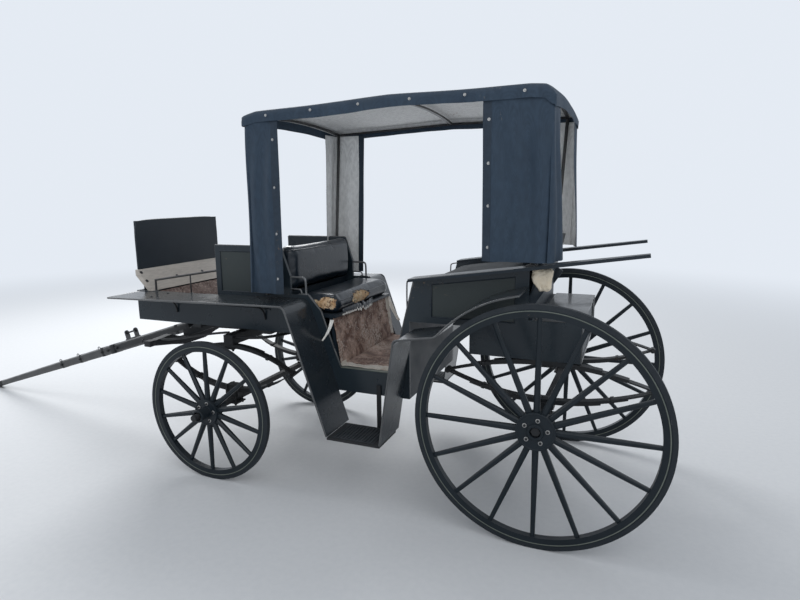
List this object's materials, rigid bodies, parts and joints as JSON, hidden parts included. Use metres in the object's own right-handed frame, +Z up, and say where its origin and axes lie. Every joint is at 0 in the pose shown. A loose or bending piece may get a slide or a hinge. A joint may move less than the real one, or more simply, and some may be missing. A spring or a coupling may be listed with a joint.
{
  "type": "horse drawn carriage",
  "caption": "Horse drawn carriage with spoked wheels, a black canvas canopy over back-to-back and rear seats, a low side entrance with steps, and a draught pole.",
  "frame": {"origin": "on the ground, below the middle of the whole length from the rear wheels' rear to the pole's tip", "axes": "+X forward along the pole, +Y to the carriage's left, +Z up; the carriage parks with its pole's tip on the ground"},
  "size_m": [5.63, 1.612, 2.2418],
  "materials": {
    "body_black": "gloss",
    "wheel_black": "satin",
    "tyre_rubber": "matt",
    "gear_iron": "satin",
    "pole_wood": "satin",
    "wing_black": "gloss",
    "bare_wood": "weathered",
    "dash_leather": "satin",
    "seat_vinyl": "gloss",
    "hide": "short hair",
    "canopy_cloth": "matt coated cloth",
    "canopy_tube": "satin"
  },
  "bodies": {
    "root": {"body_side_left": "body_black", "body_side_right": "body_black", "boot": "body_black", "rear_seat_box": "body_black", "guest_seat_box": "body_black", "driver_seat_box": "body_black", "footwell_floor": "body_black", "entrance_well": "body_black", "top_rails": "body_black", "rear_axle": "gear_iron", "fifth_wheel_upper": "gear_iron", "rear_springs": "gear_iron", "steps": "gear_iron", "hand_rails": "gear_iron", "front_wings": "wing_black", "rear_wings": "wing_black", "toe_board": "bare_wood", "dash": "dash_leather", "driver_cushion": "seat_vinyl", "backrest": "seat_vinyl", "guest_cushion": "seat_vinyl", "rear_cushion": "seat_vinyl", "rear_back_pad": "seat_vinyl", "footwell_hide": "hide", "entrance_hide": "hide", "canopy_roof": "canopy_cloth", "front_curtains": "canopy_cloth", "rear_curtains": "canopy_cloth", "canopy_frame": "canopy_tube"},
    "front_gear": {"front_axle": "gear_iron", "front_bolster": "gear_iron", "splinter_bar": "gear_iron", "pole_pin": "gear_iron", "front_springs": "gear_iron", "futchells": "gear_iron"},
    "pole": {"pole": "pole_wood", "pole_braces": "gear_iron"},
    "front_left_wheel": {"front_wheel_left": "wheel_black", "front_tyre_left": "tyre_rubber"},
    "front_right_wheel": {"front_wheel_right": "wheel_black", "front_tyre_right": "tyre_rubber"},
    "rear_left_wheel": {"rear_wheel_left": "wheel_black", "rear_tyre_left": "tyre_rubber"},
    "rear_right_wheel": {"rear_wheel_right": "wheel_black", "rear_tyre_right": "tyre_rubber"}
  },
  "joints": [
    {"name": "steering", "type": "hinge", "parent": "root", "child": "front_gear", "pos_m": [-0.24706, 0, 0.84], "axis": [0, 0, 1], "range_deg": [-25, 25]},
    {"name": "pole_lift", "type": "hinge", "parent": "front_gear", "child": "pole", "pos_m": [0.29494, 0, 0.822], "axis": [0, -1, 0], "range_deg": [0, 22]},
    {"name": "front_left_spin", "type": "hinge", "parent": "front_gear", "child": "front_left_wheel", "pos_m": [-0.24706, 0.672, 0.434], "axis": [0, 1, 0], "continuous": true},
    {"name": "front_right_spin", "type": "hinge", "parent": "front_gear", "child": "front_right_wheel", "pos_m": [-0.24706, -0.672, 0.434], "axis": [0, 1, 0], "continuous": true},
    {"name": "rear_left_spin", "type": "hinge", "parent": "root", "child": "rear_left_wheel", "pos_m": [-2.20506, 0.672, 0.61], "axis": [0, 1, 0], "continuous": true},
    {"name": "rear_right_spin", "type": "hinge", "parent": "root", "child": "rear_right_wheel", "pos_m": [-2.20506, -0.672, 0.61], "axis": [0, 1, 0], "continuous": true}
  ]
}
